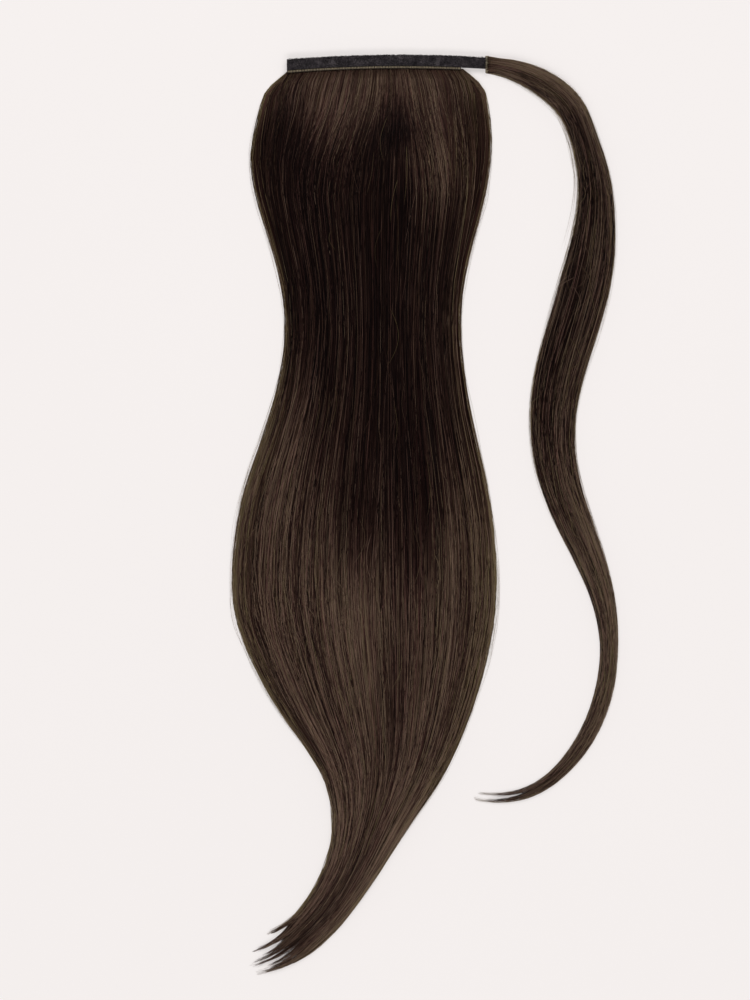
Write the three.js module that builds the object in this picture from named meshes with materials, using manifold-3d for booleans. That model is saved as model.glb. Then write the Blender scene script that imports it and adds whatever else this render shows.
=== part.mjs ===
// Wrap-around ponytail hairpiece, unworn and laid flat. Millimetres, +Z up.
// The origin is the middle of the band's underside, where the wefts are held, on the surface.
// +X runs along the band towards its tab, and the hair falls towards -Y.
import * as THREE from "three";
import { mergeVertices } from "three/addons/utils/BufferGeometryUtils.js";
import Module from "manifold-3d";

const wasm = await Module();
wasm.setup();

// Clearance between pieces that touch on the real object
const fitGap = 0.3;

// Band: a strip of soft loop tape folded lengthwise over the weft heads
const weftWidth = 104.4;
const tabLength = 15;
const bandHeight = 6.4;
const tapeThickness = 1.2;
const foldRadius = 1.1;
const foldFacets = 3;
const bandSag = 2.7;
const bandCrestX = 15.6;
const bandSteps = 20;

// Heads of the wefts, which sit between the tape's two leaves
const headThickness = 0.8;
const tongueLength = 11;

// Stitched edge of the top weft
const seamWidth = 1.3;
const seamHeight = 1.2;
const seamShoulder = 0.25;

// Hair fall: both layers follow one table of sections
const fallLength = 547;
const bellyWidth = 159;
const tailSway = 73;
const pileHeight = 17;
const backPart = 0.38;
const edgeThickness = 1.1;
const frontEdgeThickness = 0.7;
const fallSteps = 36;
const headRunOut = 24;

// Cross-section of a pile of hair: how flat its crown is, and how full its shoulders are
const domeFlatness = 2.3;
const domeShoulder = 0.7;

// Facets across a layer: even ones, drawn towards the edges by a share
const lockFacets = 3;
const backFacets = 16;
const underFacets = 8;
const strandUnderFacets = 4;
const edgeCrowding = 0.45;

// Locks: lengthwise grooves that part the hair of the upper layer
const frontLocks = 13;
const frontGroove = 1.8;
const frontGrooveShare = 1 / 3;

// Depth of a groove along the hair: a mean share, a swing, and the turn of its wave in radians
// from one facet to the next and from the seam to the tips
const grooveMean = 0.65;
const grooveSwing = 0.35;
const grooveTurnAcross = 2.1;
const grooveTurnDown = 9;

// Wrap strand: the long lock that is wound round the ponytail's base
const strandDrop = 446;
const strandSpread = 74;
const strandWidth = 30.6;
const strandThickness = 8.5;
const strandLocks = 5;
const strandGroove = 1.1;
const strandGrooveShare = 0.2;
const strandSteps = 46;
const strandEdge = 1;
const layClearance = 8;

// Loose tips. A tip's round section sinks a little into the surface, which cuts it flat.
const tipEndWidth = 0.9;
const tipEndHeight = 0.6;
const tipTaper = 1.5;
const tipSink = 1.2;
const tipSteps = 6;
const tipSides = 8;
const fallTipHeight = 0.85;
const strandTipHeight = 0.9;

// Points nearer than this are one point when solids are joined or cut
const mergeDistance = 1e-4;

const weftHalf = weftWidth / 2;
const bandHalf = bandHeight / 2;
const tabEnd = weftHalf + tabLength;
const slotHeight = 2 * headThickness + 3 * fitGap;
const bandThickness = 2 * tapeThickness + slotHeight;
const backHeadLow = tapeThickness + fitGap;
const backHeadHigh = backHeadLow + headThickness;
const frontHeadLow = backHeadHigh + fitGap;
const frontHeadHigh = frontHeadLow + headThickness;
const headTop = bandHalf - tapeThickness - fitGap;
const underBand = bandHalf + fitGap;
const underSeam = underBand + seamWidth + fitGap;

// Sections down the fall. down: share of fallLength. side: share of tailSway. half: share of
// half the bellyWidth. lean: degrees that the section turns as the tail swings to the side.
// pile: share of pileHeight. front: the front layer's width as a share of the back layer's.
const fallSections = [
  { down: 0.02, side: 0, half: 0.75, lean: 0, pile: 0.4, front: 0.93 },
  { down: 0.043, side: 0, half: 0.85, lean: 0, pile: 0.7, front: 0.88 },
  { down: 0.076, side: -0.01, half: 0.894, lean: 0, pile: 0.92, front: 0.87 },
  { down: 0.109, side: -0.03, half: 0.906, lean: 0, pile: 1, front: 0.88 },
  { down: 0.153, side: -0.03, half: 0.857, lean: 0, pile: 1, front: 0.9 },
  { down: 0.208, side: -0.02, half: 0.743, lean: 0, pile: 0.97, front: 0.93 },
  { down: 0.273, side: -0.01, half: 0.653, lean: 0, pile: 0.94, front: 0.94 },
  { down: 0.339, side: -0.01, half: 0.683, lean: 0, pile: 0.9, front: 0.94 },
  { down: 0.405, side: -0.035, half: 0.785, lean: 0, pile: 0.86, front: 0.94 },
  { down: 0.471, side: -0.065, half: 0.921, lean: 0, pile: 0.82, front: 0.95 },
  { down: 0.548, side: -0.08, half: 0.993, lean: 0, pile: 0.8, front: 0.95 },
  { down: 0.613, side: -0.074, half: 0.974, lean: 0, pile: 0.8, front: 0.95 },
  { down: 0.679, side: -0.022, half: 0.83, lean: 0, pile: 0.82, front: 0.95 },
  { down: 0.734, side: 0.016, half: 0.653, lean: 3, pile: 0.84, front: 0.95 },
  { down: 0.777, side: 0.028, half: 0.482, lean: 10, pile: 0.84, front: 0.95 },
  { down: 0.825, side: -0.03, half: 0.302, lean: 19, pile: 0.8, front: 0.95 },
  { down: 0.883, side: -0.175, half: 0.195, lean: 28, pile: 0.64, front: 0.94 },
  { down: 0.936, side: -0.422, half: 0.16, lean: 38, pile: 0.46, front: 0.9 },
  { down: 0.97, side: -0.69, half: 0.15, lean: 48, pile: 0.22, front: 0.8 },
];

// Loose tips of the fall. from: where across the last section the tip starts, -1 to 1.
// side and down: the tip's end, as shares of tailSway and fallLength. wide: share of tipWidth.
const tipWidth = 8.5;
const fallTips = [
  { from: -0.72, side: -0.881, down: 0.958, wide: 0.5 },
  { from: -0.45, side: -1.007, down: 0.979, wide: 0.75 },
  { from: 0.02, side: -1.038, down: 0.99, wide: 1.1 },
  { from: 0.4, side: -0.888, down: 0.994, wide: 0.7 },
  { from: 0.74, side: -0.97, down: 1, wide: 0.8 },
];

// Sections along the wrap strand. side: share of strandSpread past the tab's end.
// down: share of strandDrop. half: share of half the strandWidth. thick: share of
// strandThickness.
const strandSections = [
  { side: 0.03, down: 0.002, half: 0.3, thick: 0.66 },
  { side: 0.205, down: 0.0075, half: 0.38, thick: 0.8 },
  { side: 0.39, down: 0.0195, half: 0.47, thick: 0.9 },
  { side: 0.557, down: 0.0365, half: 0.51, thick: 0.95 },
  { side: 0.7, down: 0.0605, half: 0.51, thick: 0.95 },
  { side: 0.79, down: 0.097, half: 0.5, thick: 0.95 },
  { side: 0.885, down: 0.158, half: 0.6, thick: 0.95 },
  { side: 0.885, down: 0.222, half: 0.78, thick: 0.98 },
  { side: 0.82, down: 0.287, half: 0.96, thick: 1 },
  { side: 0.716, down: 0.35, half: 0.98, thick: 1 },
  { side: 0.604, down: 0.413, half: 0.94, thick: 0.98 },
  { side: 0.537, down: 0.477, half: 0.86, thick: 0.96 },
  { side: 0.562, down: 0.543, half: 0.78, thick: 0.94 },
  { side: 0.678, down: 0.604, half: 0.7, thick: 0.9 },
  { side: 0.834, down: 0.665, half: 0.57, thick: 0.85 },
  { side: 0.959, down: 0.727, half: 0.42, thick: 0.76 },
  { side: 1, down: 0.792, half: 0.32, thick: 0.68 },
  { side: 0.944, down: 0.857, half: 0.33, thick: 0.6 },
  { side: 0.779, down: 0.919, half: 0.3, thick: 0.52 },
  { side: 0.514, down: 0.968, half: 0.23, thick: 0.42 },
  { side: 0.238, down: 0.991, half: 0.2, thick: 0.32 },
];
const strandTipWidth = 3.6;
const strandTips = [
  { from: 0.5, side: -0.062, down: 0.984, wide: 0.8 },
  { from: -0.35, side: -0.09, down: 0.992, wide: 1.1 },
];

// A smooth line through three columns of a table, in the order of its rows
function columnLine(rows, column) {
  const points = rows.map((row) => new THREE.Vector3(...column(row)));
  return new THREE.CatmullRomCurve3(points, false, "catmullrom", 0.5);
}

// The band bows a little: its middle line drops to both sides of its crest
function bandBow(x) {
  const reach = weftHalf + bandCrestX;
  const drop = (at) => bandSag * ((at - bandCrestX) / reach) ** 2;
  return drop(0) - drop(x);
}

// A domed profile across a pile of hair, 1 in the middle and 0 at its edges
function dome(across) {
  const inside = 1 - Math.min(1, Math.abs(across)) ** domeFlatness;
  return inside ** domeShoulder;
}

// Depth of the groove at a facet's corner, 0 on a lock and up to 1 between two locks. Each
// groove grows deeper and shallower down the hair, out of step with the one beside it.
function grooveShape(corner, station) {
  const between = corner % lockFacets === 0;
  const swell = Math.sin(grooveTurnAcross * corner + grooveTurnDown * station);
  return between ? grooveMean + grooveSwing * swell : 0;
}

// A closed body through rings of the same number of points, with flat fans at both ends
function loft(rings) {
  const ringSize = rings[0].length;
  const positions = rings.flat(2);
  const faces = [];
  for (let ring = 0; ring + 1 < rings.length; ring += 1) {
    for (let at = 0; at < ringSize; at += 1) {
      const next = (at + 1) % ringSize;
      const a = ring * ringSize + at;
      const b = ring * ringSize + next;
      faces.push(a, a + ringSize, b, b, a + ringSize, b + ringSize);
    }
  }
  addCap(positions, faces, rings[0], 0, true);
  addCap(positions, faces, rings[rings.length - 1], (rings.length - 1) * ringSize, false);
  const geometry = new THREE.BufferGeometry();
  geometry.setAttribute("position", new THREE.Float32BufferAttribute(positions, 3));
  geometry.setIndex(faces);
  return geometry;
}

// Closes one end of a loft with a fan round the middle of its ring
function addCap(positions, faces, ring, first, atStart) {
  const middle = positions.length / 3;
  const sum = ring.reduce((total, point) => total.map((value, axis) => value + point[axis]));
  positions.push(...sum.map((value) => value / ring.length));
  for (let at = 0; at < ring.length; at += 1) {
    const here = first + at;
    const next = first + ((at + 1) % ring.length);
    faces.push(...(atStart ? [middle, here, next] : [middle, next, here]));
  }
}

// Boolean joins and cuts
function solidOf(geometry) {
  const bare = geometry.clone();
  bare.deleteAttribute("normal");
  bare.deleteAttribute("uv");
  const merged = mergeVertices(bare, mergeDistance);
  return new wasm.Manifold(
    new wasm.Mesh({
      numProp: 3,
      vertProperties: new Float32Array(merged.attributes.position.array),
      triVerts: new Uint32Array(merged.index.array),
    }),
  );
}

function geometryOf(solid) {
  const mesh = solid.getMesh();
  const geometry = new THREE.BufferGeometry();
  geometry.setAttribute("position", new THREE.BufferAttribute(mesh.vertProperties, 3));
  geometry.setIndex(new THREE.BufferAttribute(mesh.triVerts, 1));
  return geometry;
}

function fuse(geometries) {
  const solids = geometries.map(solidOf);
  return geometryOf(solids.reduce((whole, piece) => whole.add(piece)));
}

// An outline in the Y-Z plane, run along X and bowed with the band
function tapeRun(outline, fromX, toX) {
  const length = toX - fromX;
  const geometry = new THREE.ExtrudeGeometry(outline, {
    depth: length,
    steps: Math.max(2, Math.round((bandSteps * length) / (weftWidth + tabLength))),
    bevelEnabled: false,
    curveSegments: foldFacets,
  });
  const turn = new THREE.Matrix4().makeBasis(
    new THREE.Vector3(0, 1, 0),
    new THREE.Vector3(0, 0, 1),
    new THREE.Vector3(1, 0, 0),
  );
  geometry.applyMatrix4(turn).translate(fromX, 0, 0);
  const place = geometry.attributes.position;
  for (let at = 0; at < place.count; at += 1) {
    place.setY(at, place.getY(at) + bandBow(place.getX(at)));
  }
  return geometry;
}

// Band: two leaves joined by the fold along its upper edge. The tab's lower leaf is cut away
// by a box, and the hook tape takes its place.
function closureBand() {
  const outline = new THREE.Shape();
  outline.moveTo(-bandHalf, 0);
  outline.lineTo(bandHalf - foldRadius, 0);
  outline.absarc(bandHalf - foldRadius, foldRadius, foldRadius, -Math.PI / 2, 0, false);
  const upper = bandThickness - foldRadius;
  outline.lineTo(bandHalf, upper);
  outline.absarc(bandHalf - foldRadius, upper, foldRadius, 0, Math.PI / 2, false);
  outline.lineTo(-bandHalf, bandThickness);
  outline.lineTo(-bandHalf, bandThickness - tapeThickness);
  outline.lineTo(bandHalf - tapeThickness, bandThickness - tapeThickness);
  outline.lineTo(bandHalf - tapeThickness, tapeThickness);
  outline.lineTo(-bandHalf, tapeThickness);
  const whole = solidOf(tapeRun(outline, -weftHalf, tabEnd));
  const room = new THREE.BoxGeometry(2 * tabLength, 2 * bandHeight, 2 * (tapeThickness + fitGap));
  room.translate(weftHalf + tabLength, bandBow(tabEnd), 0);
  return geometryOf(whole.subtract(solidOf(room)));
}

// Hook tape: the tab's lower leaf
function hookTape() {
  const outline = new THREE.Shape();
  outline.moveTo(-bandHalf, 0);
  outline.lineTo(bandHalf, 0);
  outline.lineTo(bandHalf, tapeThickness);
  outline.lineTo(-bandHalf, tapeThickness);
  return tapeRun(outline, weftHalf + fitGap, tabEnd);
}

// Weft seam: a rounded bead of stitches just under the band's lower edge
function weftSeam() {
  const outline = new THREE.Shape();
  const low = frontHeadHigh + fitGap;
  const left = -underBand - seamWidth;
  const shoulder = seamHeight / 2;
  outline.moveTo(left, low);
  outline.lineTo(-underBand, low);
  outline.lineTo(-underBand, low + shoulder);
  outline.lineTo(-underBand - seamWidth * seamShoulder, low + seamHeight);
  outline.lineTo(left + seamWidth * seamShoulder, low + seamHeight);
  outline.lineTo(left, low + shoulder);
  return tapeRun(outline, -weftHalf, weftHalf);
}

// Place, width, lean and pile of the fall at a station, 0 at the seam and 1 at the tips
const seamSection = {
  down: underSeam / fallLength,
  side: 0,
  half: weftHalf / (bellyWidth / 2),
  lean: 0,
  pile: frontHeadHigh / pileHeight,
  front: 1,
};
const fallRows = [seamSection, ...fallSections];
const fallPlan = columnLine(fallRows, (row) => [
  row.side * tailSway,
  -row.down * fallLength,
  (row.half * bellyWidth) / 2,
]);
const fallForm = columnLine(fallRows, (row) => [row.lean, row.pile * pileHeight, row.front]);

function fallSection(station) {
  const plan = fallPlan.getPoint(station);
  const form = fallForm.getPoint(station);
  const lean = THREE.MathUtils.degToRad(form.x);
  return {
    x: plan.x,
    y: plan.y,
    half: plan.z,
    acrossX: Math.cos(lean),
    acrossY: -Math.sin(lean),
    pile: form.y,
    front: form.z,
    station,
    grooves: THREE.MathUtils.clamp((-plan.y - underSeam) / headRunOut, 0, 1),
  };
}

// A point across the fall, which follows the band's bow while it is close to the band
function fallPoint(section, across, height) {
  const x = section.x + across * section.half * section.acrossX;
  const bow = bandBow(x) * (1 - section.grooves);
  return [x, section.y + bow + across * section.half * section.acrossY, height];
}

// Upper surface of the back layer at a share across the fall
function backTop(section, across) {
  const crown = backHeadHigh + section.grooves * (section.pile * backPart - backHeadHigh);
  const low = Math.min(crown, edgeThickness);
  const edge = backHeadHigh + section.grooves * (low - backHeadHigh);
  return edge + (crown - edge) * dome(across);
}

// Upper surface of the front layer, across its own width
function frontTop(section, across, corner) {
  const floor = backTop(section, across * section.front) + fitGap;
  const head = frontHeadHigh - frontHeadLow;
  const crown = Math.max(head, section.pile * (1 - backPart) - fitGap);
  const edge = head + section.grooves * (frontEdgeThickness - head);
  const deepest = Math.min(frontGroove, crown * frontGrooveShare);
  const depth = deepest * section.grooves * dome(across);
  const rise = (crown - edge) * dome(across) * Math.sqrt(section.grooves);
  return floor + edge + rise - depth * grooveShape(corner, section.station);
}

// Shares across a layer from edge to edge, closer together near the edges
function acrossShares(count) {
  return Array.from({ length: count + 1 }, (_, at) => {
    const even = (2 * at) / count - 1;
    const crowded = Math.sin((even * Math.PI) / 2);
    return (1 - edgeCrowding) * even + edgeCrowding * crowded;
  });
}

// A ring round a layer: along its top from one edge to the other, and back underneath
function layerRing(place, topOf, bottomOf, topShares, bottomShares) {
  const top = topShares.map((across, corner) => place(across, topOf(across, corner)));
  const bottom = bottomShares.map((across) => place(across, bottomOf(across)));
  return [...top, ...bottom.reverse()];
}

// Rings of a weft head, from inside the fold to just under the seam
function headRings(low, high, topShares, bottomShares) {
  const half = weftHalf - fitGap;
  return [headTop, -underBand].map((y) =>
    layerRing(
      (across, height) => [across * half, y + bandBow(across * half), height],
      () => high,
      () => low,
      topShares,
      bottomShares,
    ),
  );
}

const stations = Array.from({ length: fallSteps + 1 }, (_, at) => at / fallSteps);

// A tapered loose tip from a section's end to its own end, lying on the surface
function looseTip(start, end, pull, width, height) {
  const bend = new THREE.Vector3().addVectors(start, pull);
  const path = new THREE.QuadraticBezierCurve3(start, bend, end);
  const rings = [];
  for (let step = 0; step <= tipSteps; step += 1) {
    const along = step / tipSteps;
    const here = path.getPoint(along);
    const way = path.getTangent(along);
    const taper = 1 - along ** tipTaper;
    const half = (tipEndWidth + (width - tipEndWidth) * taper) / 2;
    const tall = tipEndHeight + (height - tipEndHeight) * taper;
    const ring = [];
    for (let side = 0; side < tipSides; side += 1) {
      const angle = (2 * Math.PI * side) / tipSides;
      const across = -half * Math.cos(angle);
      const up = Math.max(0, (tall / 2) * (1 + tipSink * Math.sin(angle)));
      ring.push([here.x - way.y * across, here.y + way.x * across, up]);
    }
    rings.push(ring);
  }
  return loft(rings);
}

// Back fall: the under weft's hair, flat where it lies on the surface, with the long tips
function backFall() {
  const topShares = acrossShares(backFacets);
  const bottomShares = acrossShares(underFacets);
  const rings = headRings(backHeadLow, backHeadHigh, topShares, bottomShares);
  for (const station of stations) {
    const section = fallSection(station);
    const place = (across, height) => fallPoint(section, across, height);
    const topOf = (across) => backTop(section, across);
    rings.push(layerRing(place, topOf, () => 0, topShares, bottomShares));
  }
  const last = fallSection(1);
  const flow = new THREE.Vector3(last.acrossY, -last.acrossX, 0);
  const tips = fallTips.map((row) => {
    const root = new THREE.Vector3(...fallPoint(last, row.from, 0));
    const start = root.clone().addScaledVector(flow, -tipWidth);
    const end = new THREE.Vector3(row.side * tailSway, -row.down * fallLength, 0);
    const reach = start.distanceTo(end);
    const pull = flow.clone().multiplyScalar(reach / 2);
    const width = tipWidth * row.wide;
    return looseTip(start, end, pull, width, backTop(last, row.from) * fallTipHeight);
  });
  return fuse([loft(rings), ...tips]);
}

// Front fall: the upper weft's hair, which lies on the back fall
function frontFall() {
  const topShares = acrossShares(frontLocks * lockFacets);
  const bottomShares = acrossShares(backFacets);
  const rings = headRings(frontHeadLow, frontHeadHigh, topShares, bottomShares);
  for (const station of stations) {
    const section = fallSection(station);
    const place = (across, height) => fallPoint(section, across * section.front, height);
    const topOf = (across, corner) => frontTop(section, across, corner);
    const bottomOf = (across) => backTop(section, across * section.front) + fitGap;
    rings.push(layerRing(place, topOf, bottomOf, topShares, bottomShares));
  }
  return loft(rings);
}

// The fall's right edge at a height on the sheet, which the strand is laid clear of
function fallRightEdge(y) {
  let edge = 0;
  let nearest = Infinity;
  for (const station of stations) {
    const section = fallSection(station);
    const point = fallPoint(section, 1, 0);
    const distance = Math.abs(point[1] - y);
    if (distance < nearest) {
      nearest = distance;
      edge = point[0];
    }
  }
  return edge;
}

const strandPlan = columnLine(strandSections, (row) => [
  tabEnd + row.side * strandSpread,
  bandBow(tabEnd) * (1 - row.down) - row.down * strandDrop,
  (row.half * strandWidth) / 2,
]);
const strandForm = columnLine(strandSections, (row) => [row.thick * strandThickness, 0, 0]);

// The strand never lies on the fall: where it would, it is laid further out
function layBeside(point, half) {
  const limit = fallRightEdge(point.y) + layClearance + half;
  return Math.max(point.x, limit);
}

function strandSection(station) {
  const plan = strandPlan.getPoint(station);
  const way = strandPlan.getTangent(station).setZ(0).normalize();
  return {
    x: layBeside(plan, plan.z),
    y: plan.y,
    half: plan.z,
    acrossX: -way.y,
    acrossY: way.x,
    thick: strandForm.getPoint(station).x,
  };
}

// Wrap strand: a tongue inside the tab, then a tapering lock on the surface, then its tips
function wrapStrand() {
  const topShares = acrossShares(strandLocks * lockFacets);
  const bottomShares = acrossShares(strandUnderFacets);
  const rings = tongueRings(topShares, bottomShares);
  for (let step = 0; step <= strandSteps; step += 1) {
    const station = step / strandSteps;
    const section = strandSection(station);
    const place = (across, height) => [
      section.x + across * section.half * section.acrossX,
      section.y + across * section.half * section.acrossY,
      height,
    ];
    const topOf = (across, corner) => {
      const deepest = Math.min(strandGroove, section.thick * strandGrooveShare);
      const crown = section.thick - strandEdge - deepest * grooveShape(corner, station);
      return strandEdge + crown * dome(across);
    };
    rings.push(layerRing(place, topOf, () => 0, topShares, bottomShares));
  }
  const last = strandSection(1);
  const flow = new THREE.Vector3(last.acrossY, -last.acrossX, 0);
  const tips = strandTips.map((row) => {
    const along = row.from * last.half;
    const root = new THREE.Vector3(last.x, last.y, 0);
    root.x += along * last.acrossX;
    root.y += along * last.acrossY;
    const start = root.clone().addScaledVector(flow, -strandTipWidth);
    const endX = tabEnd + row.side * strandSpread;
    const endY = bandBow(tabEnd) * (1 - row.down) - row.down * strandDrop;
    const end = new THREE.Vector3(endX, endY, 0);
    end.x = layBeside(end, 0);
    const pull = flow.clone().multiplyScalar(start.distanceTo(end) / 2);
    const tall = last.thick * strandTipHeight;
    return looseTip(start, end, pull, strandTipWidth * row.wide, tall);
  });
  return fuse([loft(rings), ...tips]);
}

// Rings of the strand's tongue, which is held between the tab's leaf and the hook tape
function tongueRings(topShares, bottomShares) {
  const low = tapeThickness + fitGap;
  const high = low + slotHeight - 2 * fitGap;
  const middle = (headTop - bandHalf) / 2;
  const half = (headTop + bandHalf) / 2;
  return [tabEnd - tongueLength, tabEnd + fitGap].map((x) =>
    layerRing(
      (across, height) => [x, middle + bandBow(x) + across * half, height],
      () => high,
      () => low,
      topShares,
      bottomShares,
    ),
  );
}

// Colours of the hair, the tape and the stitching
function hairMaterial() {
  return new THREE.MeshStandardMaterial({ color: 0x2c1f1a, roughness: 0.45, metalness: 0 });
}

function tapeMaterial() {
  return new THREE.MeshStandardMaterial({ color: 0x2f2c2f, roughness: 0.95, metalness: 0 });
}

function seamMaterial() {
  return new THREE.MeshStandardMaterial({ color: 0x56493c, roughness: 0.8, metalness: 0 });
}

function named(name, geometry, material) {
  const mesh = new THREE.Mesh(geometry, material);
  mesh.name = name;
  return mesh;
}

const hairpiece = new THREE.Group();
hairpiece.add(named("closure_band", closureBand(), tapeMaterial()));
hairpiece.add(named("hook_tape", hookTape(), tapeMaterial()));
hairpiece.add(named("weft_seam", weftSeam(), seamMaterial()));
hairpiece.add(named("back_fall", backFall(), hairMaterial()));
hairpiece.add(named("front_fall", frontFall(), hairMaterial()));
hairpiece.add(named("wrap_strand", wrapStrand(), hairMaterial()));

export default hairpiece;
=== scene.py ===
# %% [markdown]
# A wrap-around ponytail hairpiece, laid flat and seen from straight above.
# The CAD frame gives six solids: the folded band, the hook tape of its tab, the stitched weft
# edge, two layers of falling hair and the long wrap strand. This lesson dresses them. Hair could
# be a particle system, but its strands vanish when the model is exported, so each strand here is
# a thin closed tube in a joined mesh, laid along flow lines that are read from the solids.

# %% Load the frame
import math

import bmesh
import bpy
import numpy as np
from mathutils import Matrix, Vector
from mathutils.bvhtree import BVHTree


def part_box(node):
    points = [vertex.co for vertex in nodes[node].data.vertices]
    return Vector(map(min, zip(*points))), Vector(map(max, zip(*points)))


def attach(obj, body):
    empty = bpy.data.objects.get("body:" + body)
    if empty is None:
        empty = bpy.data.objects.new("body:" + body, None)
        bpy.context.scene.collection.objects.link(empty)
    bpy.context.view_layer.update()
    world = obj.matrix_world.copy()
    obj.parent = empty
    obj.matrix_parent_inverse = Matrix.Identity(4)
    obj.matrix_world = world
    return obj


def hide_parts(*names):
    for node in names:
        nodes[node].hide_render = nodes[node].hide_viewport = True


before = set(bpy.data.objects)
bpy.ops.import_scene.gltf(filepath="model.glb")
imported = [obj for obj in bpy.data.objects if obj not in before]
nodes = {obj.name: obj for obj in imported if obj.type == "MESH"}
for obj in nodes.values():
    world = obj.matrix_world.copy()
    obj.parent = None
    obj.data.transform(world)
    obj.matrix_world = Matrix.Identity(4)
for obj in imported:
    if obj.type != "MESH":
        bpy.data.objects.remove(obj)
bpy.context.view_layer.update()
RANDOM = np.random.default_rng(22)
MM = 0.001
print("nodes:", ", ".join(sorted(nodes)))

# %% [markdown]
# The camera looks straight down through a long lens, so the picture is nearly a plan. The
# photograph is 750 by 1000 pixels at 0.6 mm a pixel, with the middle of the band's underside,
# the frame's origin, at pixel 374, 61.3.

# %% Camera
PIXEL = 0.6 * MM
PHOTO_WIDTH, PHOTO_HEIGHT = 750, 1000
ORIGIN_PIXEL = (374, 61.3)
CAMERA_HEIGHT = 2.4
SENSOR = 36


def make_camera():
    data = bpy.data.cameras.new("overhead_camera")
    data.sensor_fit = "VERTICAL"
    data.sensor_height = SENSOR
    data.sensor_width = SENSOR
    data.lens = SENSOR * CAMERA_HEIGHT / (PHOTO_HEIGHT * PIXEL)
    camera = bpy.data.objects.new("overhead_camera", data)
    middle_x = (PHOTO_WIDTH / 2 - ORIGIN_PIXEL[0]) * PIXEL
    middle_y = (ORIGIN_PIXEL[1] - PHOTO_HEIGHT / 2) * PIXEL
    camera.location = (middle_x, middle_y, CAMERA_HEIGHT)
    bpy.context.scene.collection.objects.link(camera)
    bpy.context.scene.camera = camera
    return camera


camera = make_camera()
print("camera lens: %.0f mm" % camera.data.lens)

# %% [markdown]
# Shader maths reads best as sums. This small class wraps a socket, so that an expression such as
# 1 - mask * 0.5 adds its Math nodes by itself. Every other node comes from one method.


# %% Shader maths
class Value:
    """A shader socket that can be used in a sum as a number can."""

    def __init__(self, graph, socket):
        self.graph = graph
        self.socket = socket

    def math(self, operation, *others):
        return self.graph.node("ShaderNodeMath", {"operation": operation}, [self, *others])

    def __add__(self, other):
        return self.math("ADD", other)

    def __mul__(self, other):
        return self.math("MULTIPLY", other)

    def __sub__(self, other):
        return self.math("SUBTRACT", other)

    def __rsub__(self, other):
        return self.graph.node("ShaderNodeMath", {"operation": "SUBTRACT"}, [other, self])

    __radd__ = __add__
    __rmul__ = __mul__


class Graph:
    """The node tree of one material."""

    def __init__(self, name):
        self.material = bpy.data.materials.new(name)
        self.material.use_nodes = True
        self.tree = self.material.node_tree
        self.shader = self.tree.nodes["Principled BSDF"]

    def node(self, kind, settings=None, inputs=(), output=0):
        """Adds a node, sets it up, links or sets its inputs, and returns one of its outputs."""
        made = self.tree.nodes.new(kind)
        for name, setting in (settings or {}).items():
            if name == "ramp":
                self.fill_ramp(made.color_ramp, setting)
            else:
                setattr(made, name, setting)
        pairs = inputs.items() if isinstance(inputs, dict) else enumerate(inputs)
        for key, value in pairs:
            self.connect(made.inputs[key], value)
        return Value(self, made.outputs[output])

    def mix(self, share, first, second, blend="MIX"):
        """Mixes two colours. Sockets 0, 6 and 7 of a Mix node are its factor and its colours."""
        settings = {"data_type": "RGBA", "blend_type": blend}
        return self.node("ShaderNodeMix", settings, {0: share, 6: first, 7: second}, output=2)

    def connect(self, socket, value):
        if isinstance(value, Value):
            self.tree.links.new(value.socket, socket)
        else:
            socket.default_value = value

    def fill_ramp(self, ramp, stops):
        while len(ramp.elements) < len(stops):
            ramp.elements.new(0.5)
        for element, (position, colour) in zip(ramp.elements, stops):
            element.position = position
            element.color = (*colour, 1)

    def finish(self, **values):
        """Sets or links the shader's own sockets, such as Base_Color."""
        for name, value in values.items():
            self.connect(self.shader.inputs[name.replace("_", " ")], value)
        return self.material


def srgb(red, green, blue):
    """A colour given in screen values from 0 to 255, as the linear light that a shader wants."""
    return tuple((c / 255 / 12.92 if c < 11 else ((c / 255 + 0.055) / 1.055) ** 2.4)
                 for c in (red, green, blue))


print("shader helpers ready")

# %% [markdown]
# The piece lies on a plain pale sheet that is lit from below, so it throws no shadow. One lamp
# overhead would light all the hair alike. Hair mirrors a light across its strands, so two long
# soft lights in line with the fall, one beyond the band and one beyond the tips, leave the level
# middle dark and shine on the crown and the tail, where the hair slopes towards them. The tone of
# the hair adds painted sheen in these places too.

# %% Floor and light
FLOOR_SIDE = 12
PAPER = srgb(196, 192, 191)
PAPER_LIGHT = srgb(236, 232, 229)
PAPER_GRAIN = 0.04
PAPER_GLOW = 0.757
WORLD_LIGHT = 0.34
SOFT_LIGHTS = [
    {"name": "crown_light", "y": 1.0, "power": 24},
    {"name": "tail_light", "y": -1.75, "power": 20},
]
LIGHT_HEIGHT = 1.9
LIGHT_SIZE = (2.6, 0.8)
LIGHT_AIM = (0.02, -0.27, 0)


def make_floor():
    bm = bmesh.new()
    bmesh.ops.create_grid(bm, x_segments=1, y_segments=1, size=FLOOR_SIDE / 2)
    mesh = bpy.data.meshes.new("paper_floor")
    bm.to_mesh(mesh)
    bm.free()
    floor = bpy.data.objects.new("paper_floor", mesh)
    bpy.context.scene.collection.objects.link(floor)
    graph = Graph("pale_paper")
    place = graph.node("ShaderNodeTexCoord", output="Object")
    grain = graph.node("ShaderNodeTexNoise", {}, {"Vector": place, "Scale": 3.0})
    tint = graph.mix(grain * PAPER_GRAIN, (*PAPER, 1), (*PAPER_LIGHT, 1))
    material = graph.finish(Base_Color=tint, Roughness=1.0, Specular_IOR_Level=0,
                            Emission_Color=tint, Emission_Strength=PAPER_GLOW)
    floor.data.materials.append(material)
    return floor


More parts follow.
